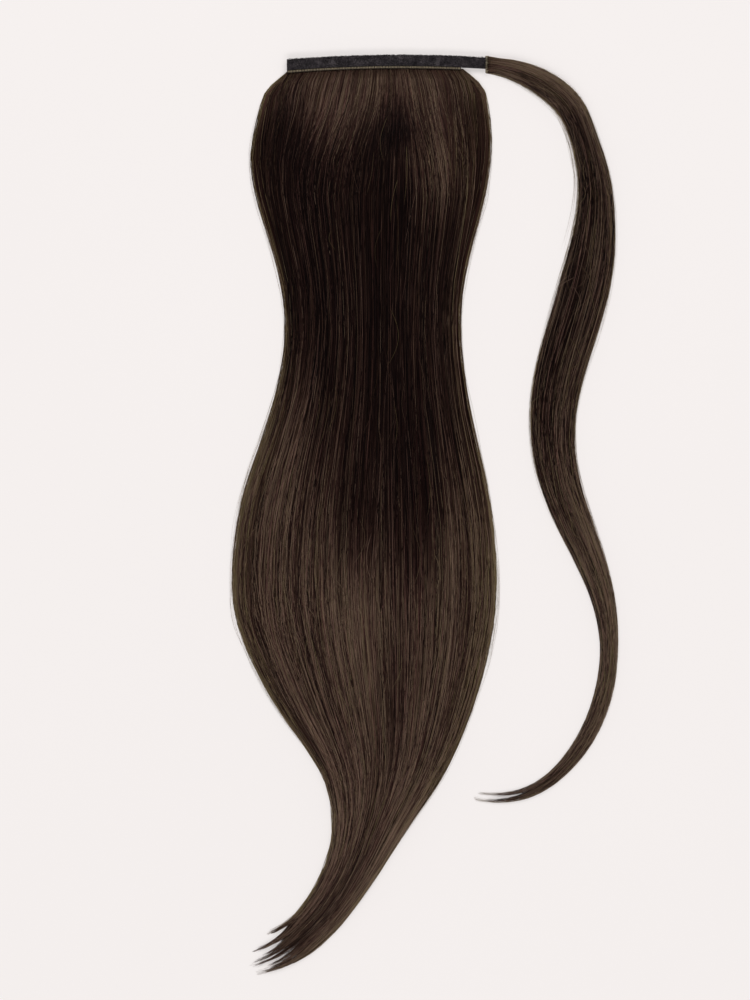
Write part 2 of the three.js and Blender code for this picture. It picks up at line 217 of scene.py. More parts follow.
def make_soft_light(row):
    data = bpy.data.lights.new(row["name"], "AREA")
    data.shape = "RECTANGLE"
    data.size, data.size_y = LIGHT_SIZE
    data.energy = row["power"]
    light = bpy.data.objects.new(row["name"], data)
    light.location = (LIGHT_AIM[0], row["y"], LIGHT_HEIGHT)
    aim = Vector(LIGHT_AIM) - light.location
    light.rotation_euler = aim.to_track_quat("-Z", "Y").to_euler()
    bpy.context.scene.collection.objects.link(light)


def make_world():
    world = bpy.data.worlds.new("studio")
    world.use_nodes = True
    world.node_tree.nodes["Background"].inputs["Color"].default_value = (1, 0.985, 0.97, 1)
    world.node_tree.nodes["Background"].inputs["Strength"].default_value = WORLD_LIGHT
    bpy.context.scene.world = world
    bpy.context.scene.view_settings.view_transform = "Standard"


make_floor()
make_world()
for row in SOFT_LIGHTS:
    make_soft_light(row)
print("lights:", len(SOFT_LIGHTS))

# %% [markdown]
# All the hair lies on the solids. Their points could be copied, but a ray finds the upper or the
# lower surface at any place of the plan. It finds flat facets, which averaging rounds off.

# %% Rays and smooth lines
RAY_FROM = 0.2


def ray_tree(name):
    """A tree over a named solid that rays can be cast against."""
    mesh = nodes[name].data
    points = [vertex.co.copy() for vertex in mesh.vertices]
    return BVHTree.FromPolygons(points, [face.vertices[:] for face in mesh.polygons])


def top_at(tree, x, y):
    """Height of the highest surface at a point of the plan, or None beside the solid."""
    hit = tree.ray_cast(Vector((x, y, RAY_FROM)), Vector((0, 0, -1)))[0]
    return None if hit is None else hit.z


def bottom_at(tree, x, y):
    hit = tree.ray_cast(Vector((x, y, -RAY_FROM)), Vector((0, 0, 1)))[0]
    return None if hit is None else hit.z


def resample(rows, count):
    """More rows along a smooth Catmull-Rom line through the given ones."""
    rows = np.asarray(rows, float)
    place = np.linspace(0, len(rows) - 1, count)
    low = np.clip(place.astype(int), 0, len(rows) - 2)
    t = (place - low).reshape(-1, *[1] * (rows.ndim - 1))
    ends = [2 * rows[0] - rows[1]], [2 * rows[-1] - rows[-2]]
    padded = np.concatenate([ends[0], rows, ends[1]])
    a, b, c, d = (padded[low + step] for step in range(4))
    bend = (2 * a - 5 * b + 4 * c - d) * t**2 + (3 * b - a - 3 * c + d) * t**3
    return 0.5 * (2 * b + (c - a) * t + bend)


def softened(values, times, axis=0):
    """Rounds off the facets of a read surface by averaging neighbours."""
    values = np.moveaxis(np.array(values, float), axis, 0)
    for _ in range(times):
        values[1:-1] = (values[:-2] + 2 * values[1:-1] + values[2:]) / 4
    return np.moveaxis(values, 0, axis)


print("ray helpers ready")

# %% [markdown]
# A layer of hair is narrow at the waist and wide at the belly, and every strand follows it. Each
# could be drawn by hand. Here a sheet is a map instead: it takes a place along the hair, 0 at its
# head and 1 at its end, and a share across it, -1 at one edge and 1 at the other, and gives the
# point on the surface. A strand that keeps its share across then flows as its layer does, and
# near the end it leaves the sheet for the nearest wisp.


# %% A sheet of hair, read from a solid
class HairSheet:
    """Maps a place along and across a layer of hair to a point on its solid's surface."""

    STATIONS = 180
    COLUMNS = 31
    EDGE_STEP = 1 * MM
    EDGE_LIMIT = 0.12
    RIM = 0.985
    EDGE_HALVINGS = 8
    EDGE_ROUNDING = 5
    HEAD_BLEND = 0.08
    SHOULDER = 0.045
    SHOULDER_REACH = 9 * MM
    TIP_SHARE = 0.05
    TIP_HEIGHT = 0.6 * MM
    TIP_SCATTER = 0.7 * MM
    TIP_MIXING = 0.07

    def __init__(self, node, line, tips, pinch, head_y=None, bound_rows=0):
        """line: rows of x, y and the turn of the section in degrees, from the head on.
        tips: rows of a wisp's share across, the x and y of its end, and the place along the
        hair where it leaves the sheet.
        pinch: how soon a wisp draws together, 1 for evenly towards its end.
        bound_rows: how many stations at the head are held as wide as the next one."""
        self.tree = ray_tree(node)
        self.tips = np.array(tips)
        self.pinch = pinch
        rows = self.even_rows(line)
        shares = np.linspace(-1, 1, self.COLUMNS)
        self.middles, self.halves, self.turns = self.read_edges(rows)
        self.halves[:bound_rows] = self.halves[bound_rows]
        if head_y is not None:
            below = (rows[:, 1] - rows[0, 1]) / self.SHOULDER_REACH
            self.halves *= 1 + self.SHOULDER * np.exp(-((below + 1) ** 2))
        across = self.halves[:, None, None] * shares[None, :, None] * self.turns[:, None]
        plan = self.middles[:, None] + across
        if head_y is not None:
            along = np.linspace(0, 1, self.STATIONS)[:, None]
            fade = np.clip(1 - along / self.HEAD_BLEND, 0, 1) ** 2
            plan[:, :, 1] += fade * (head_y(plan[0, :, 0]) - plan[0, :, 1])
        top = self.read_heights(plan, top_at)
        low = self.read_heights(plan, bottom_at)
        grid = np.dstack([plan, top, low])
        grid = resample(grid, 2 * self.STATIONS)
        self.grid = resample(grid.swapaxes(0, 1), 4 * self.COLUMNS).swapaxes(0, 1)
        self.length = np.linalg.norm(np.diff(self.middles, axis=0), axis=1).sum()

    def even_rows(self, line):
        """Rows at equal steps along the smooth line."""
        fine = resample(line, 10 * self.STATIONS)
        steps = np.linalg.norm(np.diff(fine[:, :2], axis=0), axis=1)
        run = np.concatenate([[0], np.cumsum(steps)])
        wanted = np.linspace(0, run[-1], self.STATIONS)
        return np.column_stack([np.interp(wanted, run, column) for column in fine.T])

    def read_edges(self, rows):
        lefts, rights = [], []
        for x, y, turn in rows:
            angle = math.radians(turn)
            way = np.array([math.cos(angle), -math.sin(angle)])
            lefts.append(np.array([x, y]) - way * self.reach(x, y, -way))
            rights.append(np.array([x, y]) + way * self.reach(x, y, way))
        lefts = softened(lefts, self.EDGE_ROUNDING)
        rights = softened(rights, self.EDGE_ROUNDING)
        gaps = np.linalg.norm(rights - lefts, axis=1)
        return (lefts + rights) / 2, gaps / 2, (rights - lefts) / gaps[:, None]

    def reach(self, x, y, way):
        """How far the solid runs from a point of the plan in one direction."""
        inside, outside = 0.0, self.EDGE_STEP
        while outside < self.EDGE_LIMIT:
            if top_at(self.tree, x + way[0] * outside, y + way[1] * outside) is None:
                break
            inside, outside = outside, outside + self.EDGE_STEP
        for _ in range(self.EDGE_HALVINGS):
            middle = (inside + outside) / 2
            if top_at(self.tree, x + way[0] * middle, y + way[1] * middle) is None:
                outside = middle
            else:
                inside = middle
        return inside

    def read_heights(self, plan, read):
        heights = np.zeros(plan.shape[:2])
        for station, row in enumerate(plan):
            middle = self.middles[station]
            for column, point in enumerate(row):
                x, y = middle + (point - middle) * self.RIM
                found = read(self.tree, x, y)
                if found is None:
                    found = heights[station, column - 1] if column else 0
                heights[station, column] = found
        return softened(softened(heights, 1, axis=1), 2)

    def at(self, along, across):
        """Points on the upper surface, and the heights of the lower one below them."""
        along = np.clip(along, 0, 1)
        inside = np.clip(across, -1, 1)
        row = along * (len(self.grid) - 1)
        column = (inside + 1) / 2 * (self.grid.shape[1] - 1)
        r = np.minimum(row.astype(int), len(self.grid) - 2)
        c = np.minimum(column.astype(int), self.grid.shape[1] - 2)
        u, v = (row - r)[..., None], (column - c)[..., None]
        near = self.grid[r, c] * (1 - v) + self.grid[r, c + 1] * v
        far = self.grid[r + 1, c] * (1 - v) + self.grid[r + 1, c + 1] * v
        found = near * (1 - u) + far * u
        past = (across - inside)[..., None]
        station = np.minimum((along * self.STATIONS).astype(int), self.STATIONS - 1)
        found[..., :2] += past * self.halves[station][..., None] * self.turns[station]
        return found[..., :3], found[..., 3]

    def strand_at(self, along, across):
        """As at, for strands by rings. Each strand leaves the sheet for its nearest wisp."""
        last = across[:, -1] + RANDOM.normal(0, self.TIP_MIXING, len(across))
        mine = np.abs(last[:, None] - self.tips[:, 0]).argmin(axis=1)
        leave = self.tips[mine, 3][:, None]
        points, low = self.at(np.minimum(along, leave), across)
        t = np.clip((along - leave) / (1 + self.TIP_SHARE - leave), 0, 1)[..., None]
        line, roots = self.wisp_line(mine, t)
        drawn = line + (points - roots) * (1 - t) ** self.pinch
        return np.where(t > 0, drawn, points), low * (1 - t[..., 0])

    def wisp_line(self, mine, t):
        """The curve from the place where each strand's wisp leaves the sheet to its own tip."""
        scatter = RANDOM.normal(0, self.TIP_SCATTER, (len(mine), 2))
        heights = np.full(len(mine), self.TIP_HEIGHT)
        ends = np.column_stack([self.tips[mine, 1:3] + scatter, heights])[:, None]
        leaves = self.tips[:, 3]
        roots = self.at(leaves[None], self.tips[None, :, 0])[0][0][mine][:, None]
        turns = self.turns[(leaves * (self.STATIONS - 1)).astype(int)][mine]
        flow = np.column_stack([turns[:, 1], -turns[:, 0], 0 * heights])[:, None]
        reach = np.linalg.norm(ends - roots, axis=2, keepdims=True) / 2
        line = (1 - t) ** 2 * roots + 2 * t * (1 - t) * (roots + flow * reach) + t ** 2 * ends
        return line, roots


# %% [markdown]
# The fall comes out from under the stitched seam, whose lower edge bows with the band. A straight
# line would leave gaps under it, so a ray from below finds that edge for any strand.

# %% Lower edge of the seam
HAIR_UNDER_SEAM = 0.6 * MM
SEAM_LEVEL = (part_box("weft_seam")[0].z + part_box("weft_seam")[1].z) / 2
seam_tree = ray_tree("weft_seam")


def seam_edge(xs):
    """The lower edge of the stitched seam, which the hair comes out from under."""
    low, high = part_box("weft_seam")
    found = []
    for x in xs:
        x = min(max(x, low.x + MM), high.x - MM)
        start = Vector((x, low.y - 20 * MM, SEAM_LEVEL))
        found.append(seam_tree.ray_cast(start, Vector((0, 1, 0)))[0].y)
    return np.array(found) + HAIR_UNDER_SEAM


print("seam level: %.1f mm" % (SEAM_LEVEL / MM))

# %% [markdown]
# Each sheet needs a middle line with the turn of its sections, and the place of each wisp at its
# tips. They could be worked out from the solids' points, but a few listed rows are easier to read
# and to change. The back and the front layer share one line.

# %% The three sheets
FALL_LINE = [
    (0, -0.0062, 0), (0, -0.06, 0), (-0.001, -0.12, 0), (-0.001, -0.18, 0), (-0.003, -0.24, 0),
    (-0.005, -0.30, 0), (-0.004, -0.35, 0), (0.001, -0.40, 3), (0.002, -0.428, 10),
    (-0.002, -0.452, 19), (-0.013, -0.484, 28), (-0.031, -0.513, 38), (-0.0495, -0.5300, 47),
]
STRAND_LINE = [
    (0.0674, -0.0021, -86), (0.083, -0.0045, -80), (0.109, -0.018, -52), (0.127, -0.043, -28),
    (0.133, -0.071, -5), (0.1325, -0.099, 6), (0.128, -0.128, 12), (0.120, -0.156, 15),
    (0.112, -0.184, 15), (0.107, -0.213, 0), (0.109, -0.242, -13), (0.117, -0.270, -22),
    (0.129, -0.297, -22), (0.138, -0.324, -15), (0.141, -0.353, 2), (0.137, -0.382, 20),
    (0.125, -0.410, 34), (0.105, -0.431, 55), (0.0865, -0.4415, 76),
]

FALL_TIPS = [
    (-0.95, -0.0640, -0.5238, 0.958), (-0.68, -0.0736, -0.5345, 0.975),
    (-0.42, -0.0676, -0.5374, 0.985), (-0.16, -0.0748, -0.5412, 0.980),
    (0.02, -0.0754, -0.5434, 0.990), (0.34, -0.0644, -0.5432, 0.985),
    (0.54, -0.0662, -0.5456, 0.990), (0.76, -0.0712, -0.5472, 0.980),
]
STRAND_TIPS = [(-0.62, 0.0630, -0.4393, 0.965), (0.3, 0.0605, -0.4424, 0.985)]
FALL_PINCH = 1.6
STRAND_PINCH = 0.75

front_sheet = HairSheet("front_fall", FALL_LINE, FALL_TIPS, FALL_PINCH, head_y=seam_edge)
back_sheet = HairSheet("back_fall", FALL_LINE, FALL_TIPS, FALL_PINCH, head_y=seam_edge)
strand_sheet = HairSheet("wrap_strand", STRAND_LINE, STRAND_TIPS, STRAND_PINCH, bound_rows=3)
for name, sheet in (("front", front_sheet), ("back", back_sheet), ("strand", strand_sheet)):
    print("%s hair: %.0f mm along, %.0f mm wide at most" % (
        name, sheet.length / MM, 2 * sheet.halves.max() / MM))

# %% [markdown]
# The tone of the hair changes over the piece, and much of it is painted sheen: painted sheen
# makes it brown at the crown, it is nearly black over the level middle, and painted sheen makes it
# lighter and cooler from the belly to the tips. The painted sheen starts higher on the left than in
# the middle, in an arch. A tone of 0 is the darkest hair, 1 the lightest. A strand keeps its own
# small shade, and its tone is worked out along its length.


# %% Tone of the hair
def smooth_step(low, high, value):
    t = np.clip((value - low) / (high - low), 0, 1)
    return t * t * (3 - 2 * t)


DARK_TONE = 0.13
BELLY_PAINTED_SHEEN = 0.48
CROWN_PAINTED_SHEEN = 0.56
FRONT_SHARE = 0.93
# Soft lighter and darker patches: on the fall painted highlights and painted shade, on the strand
# painted highlights and darker hair. Each row: y and share across of the middle, reach both ways,
# amount.
FALL_SHEEN_AND_SHADE_PATCHES = [
    (-0.041, -0.34, 0.022, 0.22, 0.30), (-0.028, -0.85, 0.020, 0.18, -0.22),
    (-0.058, 0.66, 0.030, 0.22, 0.52), (-0.024, 0.82, 0.018, 0.24, -0.24),
    (-0.040, 0.22, 0.013, 0.13, -0.24), (-0.060, 0.32, 0.012, 0.15, 0.18),
    (-0.228, -0.66, 0.040, 0.26, 0.08), (-0.240, -0.25, 0.022, 0.12, 0.10),
    (-0.250, 0.10, 0.045, 0.24, 0.08), (-0.335, -0.05, 0.036, 0.26, 0.40),
    (-0.290, 0.45, 0.040, 0.12, -0.14), (-0.372, 0.30, 0.030, 0.16, -0.06),
]
STRAND_SHEEN_AND_DARK_PATCHES = [
    (-0.262, 0.6, 0.035, 0.5, 0.06), (-0.330, 0.8, 0.030, 0.4, -0.18),
    (-0.375, 0.6, 0.030, 0.5, -0.22), (-0.415, 0.6, 0.020, 0.6, -0.20),
    (-0.330, -0.3, 0.040, 0.5, 0.10), (-0.020, -0.05, 0.014, 0.28, -0.14),
    (-0.008, 0.7, 0.012, 0.4, 0.16), (-0.030, 0.75, 0.018, 0.3, 0.24),
    (-0.050, 0.8, 0.018, 0.3, 0.16), (-0.045, -0.1, 0.025, 0.4, -0.08),
    (-0.434, 0.3, 0.014, 0.5, -0.30),
]


def patched(tone, y, across, patches):
    for centre_y, centre_across, reach_y, reach_across, amount in patches:
        off = ((y - centre_y) / reach_y) ** 2 + ((across - centre_across) / reach_across) ** 2
        tone = tone + amount * np.exp(-off)
    return tone


def fall_tone(points, across):
    """Tone of the falling hair at a point of the plan, y running down the hair."""
    y = points[..., 1]
    left = smooth_step(0.05, 0.85, -across)
    right = smooth_step(0.3, 0.85, across)
    # Painted sheen: the hair is lighter at the crown, where it rises towards the crown light, and
    # below this arch over the belly, towards the tail light.
    arch = -0.303 + 0.095 * left + 0.05 * right
    belly = BELLY_PAINTED_SHEEN * smooth_step(arch + 0.055, arch - 0.045, y)
    crown = CROWN_PAINTED_SHEEN * smooth_step(-0.058, -0.010, y)
    # Painted light: the edges are paler, above all at the waist, as where light comes through thin
    # hair.
    waist = smooth_step(0.3, 0.0, np.abs(y + 0.14) / 0.2)
    rim = (0.04 + 0.1 * waist) * smooth_step(0.75, 0.9, np.abs(across))
    rim += 0.36 * smooth_step(0.93, 1, np.abs(across))
    # The tail is paler towards its edges, painted light as at the rim, and darker down its middle.
    tail = 0.10 * smooth_step(-0.40, -0.47, y) * np.abs(across)
    tail += 0.25 * smooth_step(-0.40, -0.47, y) * smooth_step(0.75, 0.95, np.abs(across))
    tail -= 0.17 * smooth_step(-0.44, -0.52, y) * (1 - across**2)
    return patched(DARK_TONE + belly + crown + rim + tail, y, across, FALL_SHEEN_AND_SHADE_PATCHES)


def front_tone(points, across):
    """The front layer ends inside the outline, so it has no painted pale rim of its own."""
    return fall_tone(points, FRONT_SHARE * across)


def strand_tone(points, across):
    """Tone of the wrap strand: painted sheen makes it light at its root and towards its end, and
    painted light gives it pale edges.
    """
    y = points[..., 1]
    # Painted sheen: the root and the lower end are lighter.
    root = 0.56 * smooth_step(-0.050, -0.004, y)
    end = 0.46 * smooth_step(-0.22, -0.32, y)
    # Painted light: the edges, and one edge near the end, are paler, as where light comes through
    # thin hair.
    rim = 0.06 * smooth_step(0.5, 0.8, np.abs(across))
    rim += 0.3 * smooth_step(-0.40, -0.44, y) * smooth_step(0.4, 1.0, -across)
    rim += 0.5 * smooth_step(0.8, 1.0, np.abs(across))
    return patched(0.27 + root + end + rim, y, across, STRAND_SHEEN_AND_DARK_PATCHES)


print("tones ready")

# %% [markdown]
# Hair material. The colour of a strand depends on two numbers only, its own shade and its tone,
# and these are the two axes of the strand's UV map, so one small map holds every strand. The
# shader's own gloss gives a faint sheen, because each strand is a real round fibre; the broad
# sheen is painted into the tone.

# %% Hair materials
TONES = [
    (0.0, srgb(13, 5, 5)), (0.25, srgb(37, 20, 17)), (0.5, srgb(65, 45, 38)),
    (0.75, srgb(93, 73, 62)), (1.0, srgb(127, 107, 90)),
]
SHADES = [
    (0.0, (1.22, 0.82, 1.0)), (0.3, (1.04, 0.94, 1.02)), (0.7, (0.98, 1.01, 0.92)),
    (1.0, (0.98, 1.10, 0.74)),
]
HAIR_ROUGHNESS = 0.4
HAIR_GLOSS = 0.07


def hair_colour(graph, tone, shade):
    body = graph.node("ShaderNodeValToRGB", {"ramp": TONES}, [tone])
    tint = graph.node("ShaderNodeValToRGB", {"ramp": SHADES}, [shade])
    return graph.mix(1.0, body, tint, "MULTIPLY")


def make_strand_material():
    graph = Graph("brown_hair_strands")
    place = graph.node("ShaderNodeUVMap", {"uv_map": "OFBake"})
    shade = graph.node("ShaderNodeSeparateXYZ", inputs=[place], output="X")
    tone = graph.node("ShaderNodeSeparateXYZ", inputs=[place], output="Y")
    colour = hair_colour(graph, tone, shade)
    rough = HAIR_ROUGHNESS + 0.1 * (1 - tone)
    return graph.finish(Base_Color=colour, Roughness=rough, Specular_IOR_Level=HAIR_GLOSS)


def make_core_material():
    """The hair deeper in the pile: darker, as painted shade, with streaks that run along the flow.
    """
    graph = Graph("brown_hair_depth")
    flow = graph.node("ShaderNodeUVMap", {"uv_map": "OFBake"})
    stretched = graph.node("ShaderNodeMapping", {}, {"Vector": flow, "Scale": (160, 5, 1)})
    fine = graph.node("ShaderNodeTexNoise", {}, {"Vector": stretched, "Scale": 1.0, "Detail": 3.0})
    tone = graph.node("ShaderNodeAttribute", {"attribute_name": "tone"}, output="Fac")
    # Painted shade: the deeper hair is drawn 0.1 darker in tone.
    streaked = tone * (0.5 + 0.9 * fine) - 0.1
    colour = hair_colour(graph, streaked, fine)
    bump = graph.node("ShaderNodeBump", {}, {"Height": fine, "Strength": 0.6, "Distance": 0.3 * MM})
    return graph.finish(Base_Color=colour, Roughness=0.6, Normal=bump,
                        Specular_IOR_Level=HAIR_GLOSS / 2)


strand_material = make_strand_material()
core_material = make_core_material()
print("hair materials:", strand_material.name, core_material.name)

# %% [markdown]
# Under the strands lies a core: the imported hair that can't be told apart. It is a grid laid on
# the sheet, extruded down to the sheet's lower surface, so it is one closed form that fills the
# place of its solid and lets no light through between the strands.

# %% Cores of packed hair
CORE_DEPTH = 0.55 * MM
CORE_LEAST = 0.1 * MM
CORE_SHORT = 0.015
CORE_JAG = 0.045
CORE_POINTS = 2.5
CORE_RIM = 0.99


def put(name, mesh, material):
    """Makes an object of a mesh and lets it ride on the part's one body."""
    piece = bpy.data.objects.new(name, mesh)
    bpy.context.scene.collection.objects.link(piece)
    mesh.materials.append(material)
    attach(piece, "root")
    return piece


def make_core(name, sheet, tone_of, rows, columns, lift):
    """A closed body between the sheet's surfaces, lifted a little off the lower one."""
    bm = bmesh.new()
    number = bm.verts.layers.int.new("number")
    tone_layer = bm.verts.layers.float.new("tone")
    uv = bm.loops.layers.uv.new("OFBake")
    bmesh.ops.create_grid(bm, x_segments=columns, y_segments=rows, size=0.5)
    place = np.array([vertex.co[:2] for vertex in bm.verts])
    for at, vertex in enumerate(bm.verts):
        vertex[number] = at
    along, across = 0.5 - place[:, 1], 2 * place[:, 0]
    ragged = CORE_SHORT + CORE_JAG * np.abs(np.sin(CORE_POINTS * math.pi * across))
    points, low = sheet.at(along * (1 - ragged * along ** 6), across * CORE_RIM)
    tone = tone_of(points, across)
    low = low + lift
    high = np.maximum(points[:, 2] - CORE_DEPTH, low + CORE_LEAST)
    made = bmesh.ops.extrude_face_region(bm, geom=bm.faces[:])
    upper = {item for item in made["geom"] if isinstance(item, bmesh.types.BMVert)}
    for vertex in bm.verts:
        at = vertex[number]
        height = high[at] if vertex in upper else low[at]
        vertex.co = (points[at, 0], points[at, 1], height)
        vertex[tone_layer] = tone[at]
    for face in bm.faces:
        face.smooth = True
        for loop in face.loops:
            at = loop.vert[number]
            loop[uv].uv = ((across[at] + 1) / 2, along[at])
    bmesh.ops.recalc_face_normals(bm, faces=bm.faces[:])
    mesh = bpy.data.meshes.new(name)
    bm.to_mesh(mesh)
    bm.free()
    piece = put(name, mesh, core_material)
    print(name, len(mesh.polygons), "faces")
    return piece


back_core = make_core("back_hair_core", back_sheet, fall_tone, 150, 44, 0.1 * MM)
front_core = make_core("front_hair_core", front_sheet, fall_tone, 200, 64, 0.1 * MM)
strand_core = make_core("strand_hair_core", strand_sheet, strand_tone, 170, 14, 0.1 * MM)
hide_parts("back_fall")
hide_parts("front_fall")
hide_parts("wrap_strand")

# %% [markdown]
# A strand is a tube with three sides, closed at both ends. All strands of a piece have the same
# number of rings, so their points are one array, worked out at once. Each strand starts at a
# share across the hair and drifts a little as it falls, is drawn towards the middle of its lock
# further down, and lies a little deeper or higher than its neighbours.

# %% Tubes from arrays
SIDES = 3
UV_SPREAD = 0.006


def tube_mesh(name, centres, radii, shade, tone):
    """A joined mesh of closed tubes. centres: strands by rings by 3. radii, tone: by rings."""
    strands, rings = radii.shape
    ways = np.gradient(centres, axis=1)
    ways /= np.linalg.norm(ways, axis=2, keepdims=True) + 1e-12
    aside = np.cross(ways, (0, 0, 1))
    aside /= np.linalg.norm(aside, axis=2, keepdims=True) + 1e-12
    above = np.cross(aside, ways)
    angles = math.pi / 2 + 2 * math.pi * np.arange(SIDES) / SIDES
    turn = np.cos(angles)[:, None] * aside[:, :, None] + np.sin(angles)[:, None] * above[:, :, None]
    points = (centres[:, :, None] + radii[:, :, None, None] * turn).reshape(-1, 3)

    ring = np.arange(strands * rings).reshape(strands, rings) * SIDES
    near, far = ring[:, :-1].reshape(-1, 1), ring[:, 1:].reshape(-1, 1)
    here = np.arange(SIDES)
    after = (here + 1) % SIDES
    quads = np.stack([near + here, near + after, far + after, far + here], axis=2)
    heads = ring[:, 0].reshape(-1, 1) + here[::-1]
    tails = ring[:, -1].reshape(-1, 1) + here
    corners = np.concatenate([quads.ravel(), heads.ravel(), tails.ravel()])
    counts = np.concatenate([np.full(quads.shape[0] * SIDES, 4), np.full(2 * strands, 3)])

    mesh = bpy.data.meshes.new(name)
    mesh.vertices.add(len(points))
    mesh.vertices.foreach_set("co", points.ravel())
    mesh.loops.add(len(corners))
    mesh.loops.foreach_set("vertex_index", corners)
    mesh.polygons.add(len(counts))
    mesh.polygons.foreach_set("loop_start", np.concatenate([[0], np.cumsum(counts)[:-1]]))
    mesh.polygons.foreach_set("use_smooth", np.ones(len(counts), bool))
    mesh.update(calc_edges=True)

    spread = UV_SPREAD * (here - 1)
    u = np.clip(shade[:, None, None] + spread, 0, 1) + np.zeros((strands, rings, SIDES))
    v = np.clip(tone, 0, 1)[:, :, None] + np.zeros((strands, rings, SIDES))
    places = np.stack([u, v], axis=3).reshape(-1, 2)[corners]
    layer = mesh.uv_layers.new(name="OFBake")
    layer.data.foreach_set("uv", places.ravel())
    return mesh


def waves(count, rings, cycles):
    """Slow random waves, one row for each strand, between -1 and 1."""
    place = np.linspace(0, 1, rings)
    total = np.zeros((count, rings))
    for weight in (0.6, 0.4):
        rate = RANDOM.uniform(0.4, 1, (count, 1)) * cycles
        phase = RANDOM.uniform(0, 1, (count, 1))
        total += weight * np.sin(2 * math.pi * (rate * place + phase))
    return total


def ring_places(rings, crowding):
    """Places of a strand's rings, closer together at its head and its end, where it bends."""
    even = np.linspace(0, 1, rings)
    return even - crowding * np.sin(2 * math.pi * even) / (2 * math.pi)


def taper(rings, root=0.05, tip=0.2):
    """Thickness of a strand along its length, pointed at its end."""
    place = np.linspace(0, 1, rings)
    start = 0.4 + 0.6 * smooth_step(0, root, place)
    end = 0.3 + 0.7 * (1 - smooth_step(1 - tip, 1, place))
    return start * end


print("tube helpers ready")

# %% [markdown]
# Hair falls in locks: neighbours lean together, a few strands cross, and light and dark locks come
# and go down the fall. Strands could be combed one by one. Here their paths, depths, shades and
# tones are arrays with a row for each strand, so thousands are laid at once. At the crown they
# lean away from a parting, and at an edge they are packed into the rim.

# %% Paths of the strands
DRIFT_CYCLES = 2.2
CROSSING_DRIFT = 2.6
SLANT_REACH = 0.14
PARTING = 0.25
SWEEP_REACH = 0.15
EDGE_BAND = 0.965
EDGE_SQUEEZE = 0.04


def parting_sweep(share):
    """At the crown the hair leans away from a parting right of the middle."""
    left = np.sin(math.pi * np.clip((share + 1) / (1 + PARTING), 0, 1))
    right = np.sin(math.pi * np.clip((share - PARTING) / (1 - PARTING), 0, 1))
    return left - right


def place_strands(count, rings, looks):
    """Each strand's first share and lock, and its places along and across the hair by rings."""
    first = RANDOM.uniform(*looks["across"], count)
    start, end = looks["start"](count), looks["end"](count)
    place = ring_places(rings, looks["crowding"])
    along = start[:, None] + (end - start)[:, None] * place
    drift = looks["drift"] * waves(count, rings, DRIFT_CYCLES) * (0.3 + 0.8 * along)
    drift *= np.where(RANDOM.random(count) < looks["crossing"], CROSSING_DRIFT, 1)[:, None]
    slant = RANDOM.normal(0, looks["slant"], (count, 1))
    drift += slant * smooth_step(0, SLANT_REACH, along - start[:, None])
    lean = looks["sweep"] * parting_sweep(first)[:, None]
    drift += lean * (1 - smooth_step(0, SWEEP_REACH, along))
    locks = np.sort(RANDOM.uniform(-1, 1, looks["locks"]))
    mine = np.abs(first[:, None] - locks).argmin(axis=1)
    pull = looks["gather"] * smooth_step(0.15, 1.0, along)
    across = first[:, None] + drift
    across += pull * (locks[mine][:, None] - across)
    past = np.abs(across) - EDGE_BAND
    squeezed = EDGE_BAND + EDGE_SQUEEZE * np.tanh(past / EDGE_SQUEEZE)
    across = np.where(past > 0, np.sign(across) * squeezed, across)
    return first, locks, mine, along, across


print("strands are packed past a share of", EDGE_BAND)

# %% [markdown]
# No two strands are alike: they lie at different depths, and have a shade and a tone of their own
# on top of those of their lock, and the deeper ones are drawn darker as painted shade. An image
# could hold this, but the numbers go with each strand.

# %% Depth, shade and tone of the strands
DEPTH_WAVE = 0.12 * MM
LOCK_RIDGE = 0.35 * MM
FLOOR_GAP = 0.05 * MM
# Painted shade: strands that lie deeper than the surface are drawn darker.
DEPTH_PAINTED_SHADE = 0.14
# Painted light: strands at the edges are more olive, the colour of light coming through thin hair.
OLIVE_EDGE = 0.35
LOCK_SHADE = 0.4
CROWN_CALM = 0.4
CROWN_REACH = 0.16
TAIL_LOCKS = 34
TAIL_CYCLES = 9
TAIL_STREAKS = 0.17
TIP_LIGHT = 0.3


def strand_depths(first, locks, mine, rings, looks):
    """Heights over the surface: each lock is rounded, and neighbours differ."""
    ridge = 1 - np.clip(np.abs(first - locks[mine]) * looks["locks"], 0, 1)
    depth = RANDOM.uniform(*looks["depth"], len(first))[:, None]
    depth = depth + DEPTH_WAVE * waves(len(first), rings, 3)
    return depth + LOCK_RIDGE * (ridge[:, None] - 0.5)


def strand_shades(first, mine, looks):
    """The hue of each strand, part its lock's and part its own, and more olive at the edges as
    painted light through thin hair.
    """
    lock_shade = RANDOM.beta(1.2, 1.2, looks["locks"])[mine]
    olive = OLIVE_EDGE * smooth_step(0.85, 1, np.abs(first))
    shade = LOCK_SHADE * lock_shade + (1 - LOCK_SHADE) * RANDOM.beta(1.2, 1.2, len(first))
    return np.clip(shade + olive, 0.01, 0.99)


def streaks(first, count, rings, cycles):
    """Light and dark locks that come and go down the hair, one row for each strand."""
    locks = RANDOM.uniform(-1, 1, count)
    mine = np.abs(first[:, None] - locks).argmin(axis=1)
    return (RANDOM.normal(0, 0.6, (count, 1)) + waves(count, rings, cycles))[mine]


